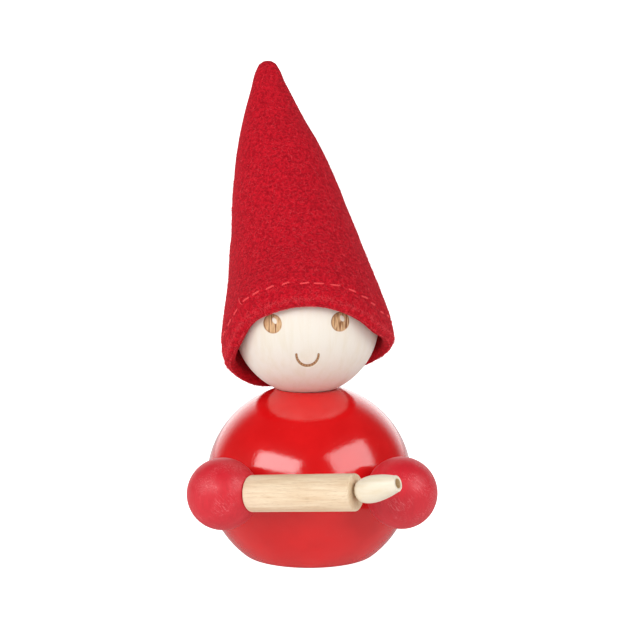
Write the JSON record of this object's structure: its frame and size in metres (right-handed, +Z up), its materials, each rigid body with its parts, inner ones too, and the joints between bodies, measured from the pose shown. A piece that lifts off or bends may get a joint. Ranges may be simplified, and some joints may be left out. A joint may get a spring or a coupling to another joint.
{
  "type": "tomte gnome figurine",
  "caption": "Turned wooden gnome figurine with a round lacquered body, ball hands holding a doll's rolling pin, a turning head and a lift-off felt hat.",
  "frame": {"origin": "centre of the flat base, on the surface that the figurine stands on", "axes": "+Z up, the figure's face looks along -Y, +X to the right of somebody who looks it in the face"},
  "size_m": [0.0624, 0.0857, 0.1292],
  "materials": {
    "red_lacquer": "turned wood under a glossy red lacquer",
    "red_stain": "turned wood stained matte red, with fine sanding marks",
    "face_wood": "pale birch, sanded smooth under a matte clear coat, with branded eyes and mouth",
    "roller_wood": "bare turned wood with open grain",
    "bead_wood": "smooth pale wood, lightly waxed",
    "dowel_wood": "bare birch dowel",
    "red_felt": "pressed wool felt with a soft nap",
    "red_thread": "twisted polyester sewing thread, a little lighter than the felt"
  },
  "bodies": {
    "figure": {"body_ball": "red_lacquer", "neck_dowel": "dowel_wood", "free_hand_ball": "red_stain", "holding_hand_ball": "red_stain", "free_hand_peg": "dowel_wood", "holding_hand_peg": "dowel_wood", "pin_axle": "dowel_wood", "pin_handle": "bead_wood"},
    "head": {"head_ball": "face_wood"},
    "hat": {"felt_hat": "red_felt", "hem_stitching": "red_thread", "back_seam_thread": "red_thread"},
    "roller": {"pin_roller": "roller_wood"}
  },
  "joints": [
    {"name": "head_turn", "type": "hinge", "parent": "figure", "child": "head", "pos_m": [-0.0008, 0, 0.0616], "axis": [0, 0, 1], "continuous": true},
    {"name": "hat_lift", "type": "slide", "parent": "head", "child": "hat", "axis": [-0.1219, 0.555, 0.8229], "range_m": [0, 0.05]},
    {"name": "roller_spin", "type": "hinge", "parent": "figure", "child": "roller", "pos_m": [-0.02224, -0.02806, 0.02225], "axis": [0.8692, -0.4818, 0.1115], "continuous": true}
  ]
}
